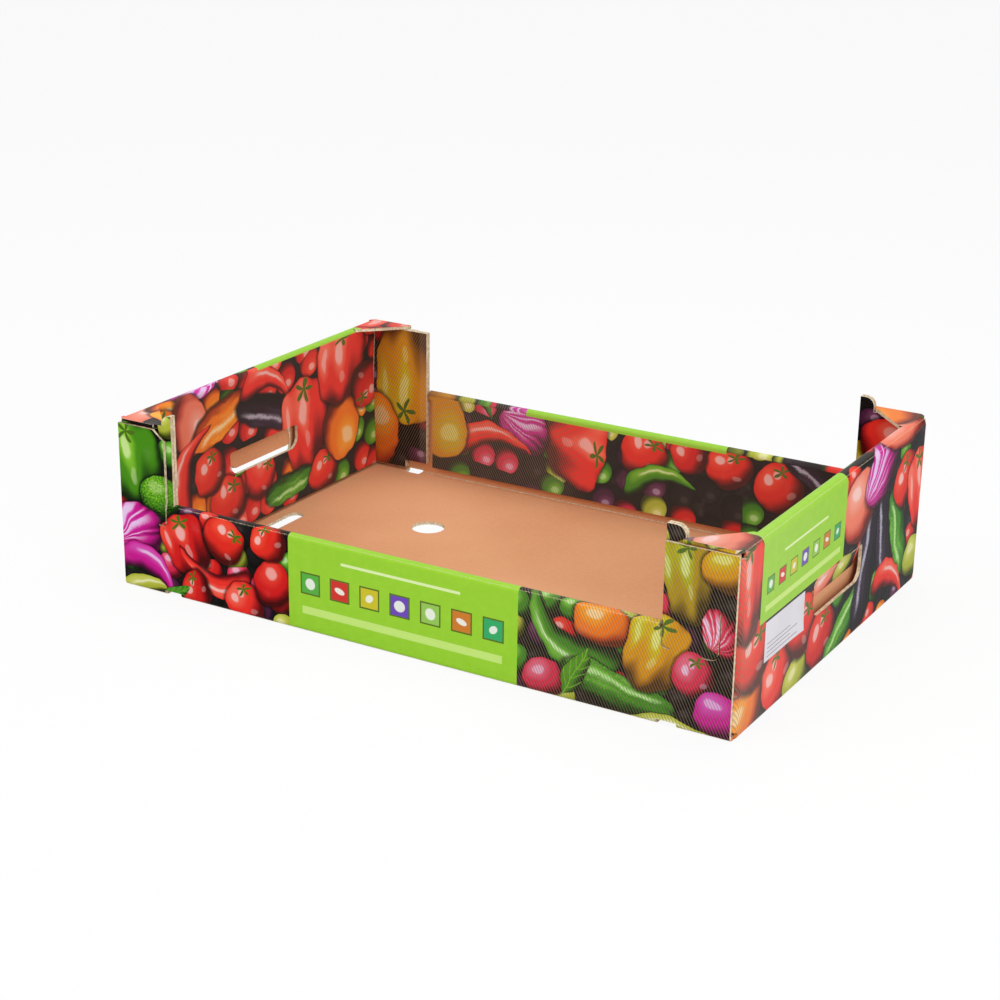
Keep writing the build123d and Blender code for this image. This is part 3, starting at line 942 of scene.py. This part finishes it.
@dataclass
class BoardSorter:
    """Tells which liner or edge each face of the folded board is, from its place and direction."""

    sizes: TraySizes

    BASE_SLACK, NEAR, LOOSE, PANEL_GAP = 0.05, 0.1, 0.2, 2.0
    LEANING, ALONG_AXIS, LEVEL = 0.5, 0.7, 0.9

    def surface(self, middle: Vector, normal: Vector) -> Surface:
        """Sorts one face.

        Args:
            middle: Middle of the face, in millimetres.
            normal: Its outward direction.

        Returns:
            The surface that it shows.
        """
        s = self.sizes
        end, side = math.copysign(1.0, middle.x), math.copysign(1.0, middle.y)
        along_x, along_y = abs(middle.x), abs(middle.y)
        out_x, out_y = normal.x * end, normal.y * side
        end_print = Surface.RIGHT_PRINT if end > 0 else Surface.LEFT_PRINT
        side_print = Surface.BACK_PRINT if side > 0 else Surface.FRONT_PRINT
        low_wall = s.low_wall(middle.y)
        roll_y, roll_z = s.half_width - s.side_depth / 2, low_wall - s.side_depth / 2
        top_x, top_z = s.half_length - s.end_depth / 2, s.deck - s.end_depth / 2
        in_end = along_x > s.half_length - s.end_depth - 2 * s.board and along_y < s.panel_reach
        over_base = along_x < s.half_length - s.fold and along_y < s.half_width - s.fold
        roll_start = roll_y - s.side_depth / 2 - self.LOOSE
        in_roll = roll_start < along_y and roll_z < middle.z < low_wall + self.NEAR
        if over_base and middle.z < s.board + self.BASE_SLACK:
            return Surface.KRAFT if abs(normal.z) > self.LEVEL else Surface.CUT_EDGE
        if in_roll and abs(normal.x) < self.LEANING:
            faces_out = (along_y - roll_y) * out_y + (middle.z - roll_z) * normal.z > 0
            return side_print if faces_out else Surface.KRAFT
        if in_end and middle.z > top_z:
            if abs(normal.y) > self.ALONG_AXIS:
                return Surface.CUT_EDGE
            faces_out = (along_x - top_x) * out_x + (middle.z - top_z) * normal.z > 0
            return end_print if faces_out else Surface.KRAFT
        if abs(normal.z) > self.ALONG_AXIS:
            return self._level(middle.z, normal.z, end_print)
        if in_end and abs(normal.y) > self.LEANING:
            return Surface.CUT_EDGE
        past_fold = along_x > s.half_length - s.fold
        if abs(normal.x) > self.ALONG_AXIS or (abs(normal.x) > abs(normal.y) and past_fold):
            return self._lengthwise(along_x, along_y, out_x, end_print)
        return self._crosswise(along_x, along_y, out_y, side_print, end_print)

    def _level(self, height: float, normal_z: float, end_print: Surface) -> Surface:
        """Sorts a face that looks up or down, above the base.

        Args:
            height: Its height.
            normal_z: How far it looks up.
            end_print: The print of the nearest end.

        Returns:
            The surface that it shows.
        """
        s = self.sizes
        if s.deck - self.NEAR < height < s.deck + self.NEAR and normal_z > 0:
            return end_print
        if s.deck - s.board - self.NEAR < height < s.deck - s.board + self.NEAR and normal_z < 0:
            return Surface.KRAFT
        return Surface.CUT_EDGE

    def _lengthwise(self, along_x: float, along_y: float, out_x: float, end_print: Surface) -> Surface:
        """Sorts a face that looks along the tray's length.

        Args:
            along_x: How far it lies from the tray's middle, along the length.
            along_y: The same along the width.
            out_x: How far it looks outwards.
            end_print: The print of the nearest end.

        Returns:
            The surface that it shows.
        """
        s = self.sizes
        if along_x > s.half_length - 0.6 * s.board and out_x > 0:
            return end_print
        inner = s.half_length - s.end_depth
        if inner - self.PANEL_GAP < along_x < inner + 0.8 * s.board and out_x < 0 and along_y < s.panel_reach:
            return end_print
        if along_x > inner + 0.5 * s.board and along_y < s.half_width - s.board - self.LOOSE:
            return end_print if out_x > 0 and along_x > s.half_length - s.fold else Surface.KRAFT
        return Surface.CUT_EDGE

    def _crosswise(
        self, along_x: float, along_y: float, out_y: float, side_print: Surface, end_print: Surface,
    ) -> Surface:
        """Sorts a face that looks along the tray's width.

        Args:
            along_x: How far it lies from the tray's middle, along the length.
            along_y: The same along the width.
            out_y: How far it looks outwards.
            side_print: The print of the nearest long wall.
            end_print: The print of the nearest end.

        Returns:
            The surface that it shows.
        """
        s = self.sizes
        if along_x > s.half_length - s.fold - self.NEAR and out_y > 0:
            return end_print
        if out_y > 0:
            return side_print if along_y > s.half_width - s.ply - self.LOOSE else Surface.KRAFT
        return side_print if along_y < s.half_width - 1.7 * s.ply else Surface.KRAFT


@dataclass
class BlankMap:
    """Lays the print's flat coordinates on the folded board, in millimetres of the unfolded blank."""

    sizes: TraySizes

    PLY_RISE, PLY_SLACK = 220.0, 0.4
    TURNED_IN = -0.3

    def place(self, point: Vector, middle: Vector, normal: Vector, surface: Surface) -> Spot:
        """Flat coordinates of one corner of a face.

        Args:
            point: The corner, in millimetres.
            middle: Middle of its face.
            normal: Direction of its face.
            surface: The face's surface.

        Returns:
            How far along the wall and how far up the unfolded wall the corner lies.
        """
        s = self.sizes
        facing = -1.0 if surface in (Surface.BACK_PRINT, Surface.LEFT_PRINT) else 1.0
        if surface in (Surface.RIGHT_PRINT, Surface.LEFT_PRINT):
            inward = s.half_length - abs(point.x)
            if normal.x * math.copysign(1.0, middle.x) < self.TURNED_IN and inward > s.end_depth / 2:
                return facing * point.y, 2 * s.deck + s.end_depth - point.z
            return facing * point.y, point.z + (inward if middle.z > s.deck - s.end_depth else 0.0)
        inward = s.half_width - abs(point.y)
        low_wall = s.low_wall(middle.y)
        inner = normal.y * math.copysign(1.0, middle.y) < self.TURNED_IN
        hidden_ply = s.half_width - abs(middle.y) > s.side_depth + self.PLY_SLACK
        if hidden_ply or (inner and middle.z > low_wall):
            return facing * point.x, self.PLY_RISE + point.z
        if inner and middle.z < low_wall - s.side_depth / 2:
            return facing * point.x, 2 * low_wall + s.side_depth - point.z
        return facing * point.x, point.z + (inward if middle.z > low_wall - s.side_depth else 0.0)


@dataclass
class FoldedBoard:
    """A node of the folded board, copied, merged and sorted into its liners and cut edges."""

    node: str
    body: str
    source: bpy.types.Object
    sorter: BoardSorter
    blank: BlankMap
    designs: dict[Surface, PrintDesign]
    materials: list[bpy.types.Material]
    tilt: Matrix = field(default_factory=Matrix)

    MERGE_DISTANCE = 1e-6

    def build(self) -> bpy.types.Object:
        """Returns the dressed copy, which stands for the node."""
        piece = bpy.data.objects.new(self.node + "_board", self.source.data.copy())
        bpy.context.scene.collection.objects.link(piece)
        self._merge(piece)
        self._sort(piece.data)
        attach(piece, self.body)
        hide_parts(self.node)
        return piece

    def _merge(self, piece: bpy.types.Object) -> None:
        """Joins the copy's loose triangles and smooths its rounded folds.

        Args:
            piece: The copy.
        """
        bpy.ops.object.select_all(action="DESELECT")
        piece.select_set(True)
        bpy.context.view_layer.objects.active = piece
        bpy.ops.object.mode_set(mode="EDIT")
        bpy.ops.mesh.select_all(action="SELECT")
        bpy.ops.mesh.remove_doubles(threshold=self.MERGE_DISTANCE)
        bpy.ops.object.mode_set(mode="OBJECT")
        bpy.ops.object.shade_smooth_by_angle(angle=SMOOTH_ANGLE)
        weighted = piece.modifiers.new("flat panels", "WEIGHTED_NORMAL")
        weighted.mode = "FACE_AREA"
        weighted.weight = 100
        weighted.keep_sharp = True
        bpy.ops.object.modifier_apply(modifier=weighted.name)

    def _sort(self, mesh: bpy.types.Mesh) -> None:
        """Gives each face its material and each corner its place on the blank.

        Args:
            mesh: The copy's mesh.
        """
        mesh.materials.clear()
        for material in self.materials:
            mesh.materials.append(material)
        while mesh.uv_layers:
            mesh.uv_layers.remove(mesh.uv_layers[0])
        layer = mesh.uv_layers.new(name="Blank")
        for polygon in mesh.polygons:
            middle = (self.tilt @ polygon.center) / MM
            normal = self.tilt.to_3x3() @ polygon.normal
            surface = self.sorter.surface(middle, normal)
            polygon.material_index = surface.value
            if surface in (Surface.KRAFT, Surface.CUT_EDGE):
                continue
            places = []
            for loop in polygon.loop_indices:
                point = (self.tilt @ mesh.vertices[mesh.loops[loop].vertex_index].co) / MM
                places.append(self.blank.place(point, middle, normal, surface))
                layer.data[loop].uv = places[-1]
            along = sum(place[0] for place in places) / len(places)
            if self.designs[surface].zone(along, min(place[1] for place in places)) is Zone.INNER:
                polygon.material_index = len(Surface) + surface.value


@dataclass
class PaperLabel:
    """White paper label with plain grey rules, stuck on the right end with one corner lifted, in mm."""

    low_y: float = -149.0
    high_y: float = -72.0
    low_z: float = 48.0
    high_z: float = 82.0
    thickness: float = 0.12
    glue: float = 0.05
    lift: float = 0.9
    lift_start: float = 1.55
    lift_run: float = 0.45
    rules: int = 4
    rule_pitch: float = 3.6
    rule_width: float = 0.8
    rule_margin: float = 5.0
    rule_reach: Spot = (-80.0, -94.0)
    fibre_height: float = 0.00003

    PAPER = (0.74, 0.72, 0.77)
    PAPER_CLOUD = (0.64, 0.62, 0.68)
    RULE_GREY = (0.30, 0.29, 0.33)

    def build(self, wall_x: float) -> bpy.types.Object:
        """Makes the label.

        Args:
            wall_x: Where the wall's face is, in millimetres.

        Returns:
            The label's object.
        """
        bpy.ops.object.select_all(action="DESELECT")
        bpy.ops.mesh.primitive_grid_add(x_subdivisions=24, y_subdivisions=12, size=1.0)
        label = bpy.context.active_object
        label.name = "paper_label"
        width, height = (self.high_y - self.low_y) * MM, (self.high_z - self.low_z) * MM
        for vertex in label.data.vertices:
            across, up = vertex.co.x, vertex.co.y
            corner = max(0.0, (across + 0.5) + (0.5 - up) - self.lift_start) / self.lift_run
            rise = (self.lift * corner * corner + self.glue) * MM
            vertex.co = Vector((
                wall_x * MM + rise,
                (self.low_y + self.high_y) / 2 * MM + across * width,
                (self.low_z + self.high_z) / 2 * MM + up * height,
            ))
        bpy.ops.object.mode_set(mode="EDIT")
        bpy.ops.mesh.select_all(action="SELECT")
        bpy.ops.mesh.normals_make_consistent(inside=False)
        bpy.ops.object.mode_set(mode="OBJECT")
        if label.data.polygons[0].normal.x < 0:
            label.data.flip_normals()
        solidify = label.modifiers.new("thickness", "SOLIDIFY")
        solidify.thickness = self.thickness * MM
        solidify.offset = 1.0
        bpy.ops.object.modifier_apply(modifier=solidify.name)
        bpy.ops.object.shade_smooth_by_angle(angle=SMOOTH_ANGLE)
        label.data.materials.append(self._paper())
        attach(label, "tray")
        return label

    def _paper(self) -> bpy.types.Material:
        """Returns white label paper with faint fibres and plain grey rules."""
        sheet = NodeSheet("label paper")
        spot = sheet.add("TexCoord").outputs["Object"]
        fibre = sheet.noise(spot, 700.0, 3.0, 0.6).outputs[0]
        cloud = sheet.noise(spot, 30.0, 2.0).outputs[0]
        colour = sheet.blend(sheet.span(cloud, 0.35, 0.7, 0.0, 0.35), self.PAPER, self.PAPER_CLOUD)
        parts = sheet.split(spot)
        for index in range(self.rules):
            height = (self.low_z + self.rule_pitch * (index + 1)) * MM
            rule = sheet.math("COMPARE", parts[2], height, self.rule_width / 2 * MM)
            middle = (self.low_y + self.rule_reach[index % 2]) / 2 * MM
            reach = sheet.math("COMPARE", parts[1], middle, middle - (self.low_y + self.rule_margin) * MM)
            colour = sheet.blend(sheet.mul(rule, reach), colour, self.RULE_GREY)
        return sheet.finish(colour, 0.55, sheet.mul(fibre, self.fibre_height), 0.5)


@dataclass(frozen=True)
class Lamp:
    """Soft square lamp aimed at the tray, with its place and width in millimetres and its power in watts."""

    name: str
    at: tuple[float, float, float]
    width: float
    power: float

    AIM = (0.0, 0.0, 0.06)

    def build(self) -> None:
        """Adds the lamp to the scene."""
        data = bpy.data.lights.new(self.name, "AREA")
        data.energy = self.power
        data.size = self.width * MM
        lamp = bpy.data.objects.new(self.name, data)
        lamp.location = Vector(self.at) * MM
        lamp.rotation_euler = (Vector(self.AIM) - lamp.location).to_track_quat("-Z", "Y").to_euler()
        bpy.context.scene.collection.objects.link(lamp)


@dataclass
class Studio:
    """Pale floor, soft lights and the camera at the photograph's viewing angle."""

    camera_at: tuple[float, float, float] = (869.2, -1530.6, 718.0)
    azimuth: float = 30.32
    elevation: float = 19.99
    roll: float = 0.85
    focal_pixels: float = 2089.6
    picture: float = 1000.0
    sensor: float = 36.0
    floor_size: float = 60.0
    floor_height: float = -0.0002
    floor_grey: Colour = (0.86, 0.86, 0.86)
    floor_glow: float = 0.90
    world_light: float = 0.55
    lamps: tuple[Lamp, ...] = (
        Lamp("key lamp", (-900.0, -1500.0, 1700.0), 1300.0, 14.0),
        Lamp("fill lamp", (1600.0, -900.0, 1100.0), 1200.0, 13.0),
        Lamp("top lamp", (200.0, 300.0, 1900.0), 1500.0, 11.0),
    )

    def build(self) -> None:
        """Makes the floor, the world, the lamps and the camera."""
        bpy.context.scene.view_settings.view_transform = "Standard"
        self._floor()
        self._world()
        for lamp in self.lamps:
            lamp.build()
        self._camera()

    def _floor(self) -> None:
        """Wide pale floor, which shows nearly white with a soft shadow."""
        bpy.ops.object.select_all(action="DESELECT")
        bpy.ops.mesh.primitive_plane_add(size=self.floor_size, location=(0.0, 0.0, self.floor_height))
        floor = bpy.context.active_object
        floor.name = "floor"
        sheet = NodeSheet("pale floor")
        lit, glow = sheet.add("BsdfDiffuse", (self.floor_grey,)), sheet.add("Emission", (WHITE,))
        share = sheet.mul(self._seen(sheet), self.floor_glow)
        mix = sheet.add("MixShader", (share, lit.outputs[0], glow.outputs[0]))
        sheet.add("OutputMaterial", (mix.outputs[0],))
        floor.data.materials.append(sheet.material)

    def _seen(self, sheet: NodeSheet) -> object:
        """Share of 1 for what the camera sees straight or mirrored."""
        path = sheet.add("LightPath")
        return sheet.math("MAXIMUM", path.outputs["Is Camera Ray"], path.outputs["Is Glossy Ray"])

    def _world(self) -> None:
        """White surroundings that light the tray evenly and show as white."""
        world = bpy.data.worlds.new("white room")
        world.use_nodes = True
        bpy.context.scene.world = world
        sheet = NodeSheet.on(world.node_tree)
        background = world.node_tree.nodes["Background"]
        sheet.put(background.inputs[0], WHITE)
        rest = sheet.math("SUBTRACT", 1.0, self.world_light)
        strength = sheet.mul_add(self._seen(sheet), rest, self.world_light)
        sheet.put(background.inputs[1], strength)

    def _camera(self) -> None:
        """Camera on the tray from the right of its front."""
        data = bpy.data.cameras.new("camera")
        data.sensor_width = self.sensor
        data.lens = self.focal_pixels * self.sensor / self.picture
        camera = bpy.data.objects.new("camera", data)
        camera.location = Vector(self.camera_at) * MM
        tilt, azimuth, roll = map(math.radians, (90.0 - self.elevation, self.azimuth, self.roll))
        turn = Euler((tilt, 0.0, azimuth), "XYZ").to_matrix()
        camera.rotation_euler = (turn @ Matrix.Rotation(roll, 3, "Z")).to_euler()
        bpy.context.scene.collection.objects.link(camera)
        bpy.context.scene.camera = camera


SIDE_BARS = (((-62.0, 68.5), (55.0, 71.0)), ((-102.0, 17.0), (95.0, 24.0)))
END_BARS = (((-120.0, 132.0), (-32.0, 134.0)), ((-152.0, 92.0), (0.0, 97.0)))

# Each motif's kind, skin, middle along and up the blank, half sizes and turn, from the lowest to the top one.
FRONT_MOTIFS = (
    (LOBED, LIME, -284, 118, 32, 38, 8), (SPECKLED, LIME, -254, 92, 22, 20, -15),
    (CURVED, GRAPE, -270, 2, 38, 20, 14), (STREAKED, BEET, -280, 56, 30, 25, 20),
    (CURVED, BEET, -266, 22, 36, 24, -24), (LOBED, CHERRY, -226, 52, 24, 29, 24),
    (ROUND, TOMATO, -184, 66, 22, 21, -30), (CURVED, SCARLET, -196, 30, 38, 24, 170),
    (ROUND, CHERRY, -216, 12, 18, 17, 60), (ROUND, SCARLET, -164, 12, 21, 20, 25),
    (PLAIN, CHERRY, -132, 36, 20, 22, -10), (ROUND, TOMATO, -138, 74, 20, 18, 40),
    (LEAF, CUCUMBER, -240, 4, 18, 7, 30), (CURVED, CUCUMBER, 150, 58, 50, 34, 142),
    (LONG, CUCUMBER, 200, 20, 52, 16, -12), (PLAIN, RADISH, 134, 14, 19, 17),
    (LEAF, LIME, 162, 26, 26, 10, 62), (PLAIN, PAPRIKA, 186, 74, 27, 19),
    (LOBED, MANGO, 230, 60, 25, 34, -20), (LOBED, LEMON, 256, 126, 22, 36, 8),
    (PLAIN, MANGO, 290, 140, 24, 20), (STREAKED, RADISH, 286, 88, 17, 19, 60),
    (ROUND, RADISH, 264, 48, 20, 19, 10), (PLAIN, BEET, 288, 20, 22, 20),
    (CURVED, GRAPE, 244, -4, 46, 18, 8), (LOBED, PAPRIKA, -150, 140, 34, 30, 200),
    (LONG, CUCUMBER, -40, 142, 54, 17, 12), (ROUND, TOMATO, 60, 138, 30, 28, 180),
    (STREAKED, BEET, 160, 142, 32, 28, 160),
)
RIGHT_MOTIFS = (
    (PLAIN, PAPRIKA, -180, 16, 34, 26, 30), (ROUND, TOMATO, -170, 62, 32, 30),
    (LOBED, SCARLET, -186, 122, 26, 44), (ROUND, SCARLET, -120, 28, 30, 28, 40),
    (PLAIN, GRAPE, -82, 10, 26, 20), (ROUND, TOMATO, -74, 52, 28, 27, -20),
    (ROUND, CHERRY, -30, 26, 30, 27, 10), (PLAIN, PEACH, -26, 74, 26, 16),
    (PLAIN, GRAPE, 14, 72, 20, 13), (LONG, CUCUMBER, 20, 20, 48, 15, 30),
    (LONG, AUBERGINE, 66, 62, 62, 22, 76), (PLAIN, PEACH, 40, 120, 36, 32),
    (LONG, AUBERGINE, 104, 70, 58, 18, 100), (STREAKED, BEET, 90, 138, 40, 26, 30),
    (LONG, CUCUMBER, 140, 66, 50, 17, 112), (ROUND, TOMATO, 150, 112, 27, 25, 30),
    (CURVED, SCARLET, 130, 20, 46, 24, -30), (LOBED, SCARLET, 190, 92, 26, 40, 20),
    (PLAIN, GRAPE, 186, 28, 26, 20), (PLAIN, PEACH, 150, 162, 50, 18),
    (LEAF, LIME, -196, 164, 22, 10, 20), (PLAIN, PEACH, -178, 180, 32, 24),
    (PLAIN, PAPRIKA, 182, 188, 34, 26), (CURVED, SCARLET, 158, 262, 42, 28, 200),
    (PLAIN, PAPRIKA, 160, 214, 30, 26), (STREAKED, BEET, 66, 296, 34, 26, 170),
    (LONG, CUCUMBER, -50, 296, 50, 17, 176), (ROUND, CHERRY, -158, 284, 30, 28, 170),
    (LOBED, LIME, -44, 206, 32, 36, 184), (SPECKLED, LEMON, -160, 216, 30, 26),
    (ROUND, TOMATO, -100, 230, 34, 32, 190), (LOBED, SCARLET, 20, 240, 40, 46, 180),
    (LONG, AUBERGINE, 100, 230, 56, 20, 70),
)
BACK_MOTIFS = (
    (CURVED, SCARLET, -262, 14, 44, 24, 8), (PLAIN, GRAPE, -196, 78, 22, 20),
    (ROUND, TOMATO, -134, 20, 26, 24, 30), (LOBED, PAPRIKA, -276, 128, 30, 36, -8),
    (CURVED, CUCUMBER, 180, 88, 44, 26, 150), (PLAIN, RADISH, 126, 12, 20, 18),
    (STREAKED, BEET, 176, 8, 26, 22, 20), (LONG, CUCUMBER, 264, 10, 48, 16, 12),
    (SPECKLED, LIME, -250, 70, 40, 34, 15), (STREAKED, BEET, -200, 30, 30, 26),
    (LONG, CUCUMBER, -150, 60, 56, 18, 20), (ROUND, TOMATO, 150, 50, 34, 30),
    (ROUND, CHERRY, 216, 40, 36, 32), (PLAIN, PEACH, 262, 60, 36, 34),
    (LOBED, SCARLET, -240, 136, 52, 38, 100), (ROUND, TOMATO, -164, 132, 26, 24, 200),
    (LONG, AUBERGINE, -205, 116, 44, 14, -30), (ROUND, TOMATO, -112, 122, 24, 22, 180),
    (ROUND, CHERRY, -70, 116, 21, 20, 220), (ROUND, TOMATO, -22, 124, 25, 23, 160),
    (CURVED, LIME, -40, 148, 40, 20, 190), (LOBED, SCARLET, 52, 128, 42, 34, 80),
    (STREAKED, BEET, 110, 122, 30, 26, 150), (CURVED, SCARLET, 150, 140, 46, 26, 185),
    (PLAIN, MANGO, 214, 128, 36, 44, 20), (PLAIN, PAPRIKA, 262, 120, 30, 34),
    (LOBED, MANGO, 252, 330, 34, 56, 180), (PLAIN, PAPRIKA, 290, 262, 30, 42),
    (SPECKLED, LEMON, -240, 300, 34, 44), (PLAIN, SCARLET, -262, 344, 22, 26),
)
LEFT_MOTIFS = (
    (PLAIN, GRAPE, -166, 76, 24, 22), (ROUND, SCARLET, -176, 26, 30, 28, 30),
    (LEAF, LIME, -88, 18, 34, 13, -20), (CURVED, SCARLET, -66, 6, 48, 26, 12),
    (PLAIN, PAPRIKA, 8, 12, 28, 22), (ROUND, CHERRY, 182, 30, 28, 26, -20),
    (LOBED, SCARLET, 178, 98, 28, 42, 8), (STREAKED, BEET, 122, 122, 34, 26, 24),
    (ROUND, TOMATO, 44, 126, 30, 28, 10), (ROUND, TOMATO, -120, 60, 34, 32),
    (LONG, AUBERGINE, -30, 40, 56, 20, 10), (LOBED, PAPRIKA, 60, 60, 40, 44),
    (LONG, CUCUMBER, 130, 50, 56, 18, 60), (PLAIN, PEACH, 184, 163, 40, 22, 10),
    (PLAIN, PAPRIKA, 150, 172, 24, 12), (STREAKED, BEET, 100, 160, 40, 16),
    (PLAIN, SCARLET, -180, 160, 40, 20), (LOBED, PAPRIKA, 158, 212, 30, 38, 170),
    (LONG, SCARLET, 160, 262, 50, 18, 60), (PLAIN, PEACH, 112, 196, 24, 32, 30),
    (LONG, PAPRIKA, 66, 206, 46, 18, 20), (CURVED, SCARLET, 116, 240, 44, 30, 240),
    (ROUND, TOMATO, 60, 288, 26, 25, 170), (ROUND, TOMATO, 84, 252, 24, 22, 200),
    (ROUND, SCARLET, 8, 276, 25, 24, 150), (LEAF, LIME, 34, 258, 16, 7, 40),
    (LONG, AUBERGINE, -6, 216, 50, 16, -20), (CURVED, SCARLET, -8, 190, 44, 24, 160),
    (LOBED, SCARLET, -68, 246, 36, 48, 186), (LONG, CUCUMBER, -36, 300, 40, 13, 10),
    (ROUND, TOMATO, -96, 302, 26, 22, 180), (PLAIN, PAPRIKA, -128, 262, 30, 36),
    (LOBED, SCARLET, -130, 200, 40, 40, 180), (ROUND, CHERRY, -176, 230, 26, 25),
)


@dataclass
class ProducePrint:
    """The four walls' prints, each a heap of produce with larger pieces and its label field."""

    front_label: LabelField = LabelField((-116.0, -5.0), (109.0, 97.0), 45.0, 10.0, 30.0, -93.5, SIDE_BARS)
    back_label: LabelField = LabelField((-109.0, -5.0), (109.0, 108.0), 45.0, 10.0, 30.0, -90.0, SIDE_BARS)
    end_label: LabelField = LabelField((-161.0, 84.0), (8.0, 172.0), 113.0, 7.0, 22.5, -144.0, END_BARS)
    side_heap: tuple[Skin, ...] = (NIGHT, CHERRY, NIGHT, GRAPE, PLUM, RADISH, CUCUMBER, NIGHT)
    end_heap: tuple[Skin, ...] = (NIGHT, TOMATO, PAPRIKA, NIGHT, CHERRY, LIME, PLUM)
    inner_heap: tuple[Skin, ...] = (SCARLET, TOMATO, PAPRIKA, NIGHT, CHERRY, LIME, TOMATO)

    def designs(self) -> dict[Surface, PrintDesign]:
        """Returns the design of each printed wall."""
        walls = (FRONT_MOTIFS, RIGHT_MOTIFS, BACK_MOTIFS, LEFT_MOTIFS)
        front, right, back, left = (tuple(Motif(*row) for row in rows) for rows in walls)
        return {
            Surface.FRONT_PRINT: PrintDesign(
                "front print", self.side_heap, heap_size=25.0, heap_seed=3.0, motifs=front, corner_fold=298.5,
                top_fold=(86.0, 234.0), hatch=(100.0, 114.0), label=self.front_label,
            ),
            Surface.RIGHT_PRINT: PrintDesign(
                "right end print", self.end_heap, heap_size=28.0, heap_seed=91.0, motifs=right,
                corner_fold=198.5, top_fold=(157.0, 200.0), hatch=(-160.0, -200.0), label=self.end_label,
                # Painted reflection towards the right end's front.
                outer_reflection=0.075,
            ),
            Surface.BACK_PRINT: PrintDesign(
                "back print", self.side_heap, heap_size=27.0, heap_seed=177.0, motifs=back, corner_fold=298.5,
                top_fold=(93.0, 234.0), hatch=(20.0, 80.0), label=self.back_label,
            ),
            Surface.LEFT_PRINT: PrintDesign(
                "left end print", self.inner_heap, heap_size=30.0, heap_seed=257.0, motifs=left,
                corner_fold=198.5, top_fold=(157.0, 200.0), hatch=(-190.0, -200.0), label=self.end_label,
            ),
        }


def main() -> None:
    """Builds the dressed tray, its hand flaps, its label and the studio."""
    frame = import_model()
    sizes = TraySizes.from_frame()
    designs = ProducePrint().designs()
    groups = {kind: ProduceGroup(kind).tree for kind in Produce}
    outer, inner = (
        [PrintSheet(design, zone, groups).material for design in designs.values()] for zone in Zone
    )
    materials = [*outer, KraftLiner().material(), CutEdge().material(), *inner]
    sorter, blank = BoardSorter(sizes), BlankMap(sizes)
    flat = {"hand_flap_left": sizes.flattened(-1.0), "hand_flap_right": sizes.flattened(1.0)}
    for node in ("tray", "hand_flap_left", "hand_flap_right"):
        source, tilt = frame["nodes"][node], flat.get(node, Matrix())
        board = FoldedBoard(node, node, source, sorter, blank, designs, materials, tilt).build()
        log.info("%s: %d faces", node, len(board.data.polygons))
    label = PaperLabel().build(sizes.half_length)
    log.info("paper label: %d faces", len(label.data.polygons))
    Studio().build()


if __name__ == "__main__":
    logging.basicConfig(level=logging.INFO)
    main()
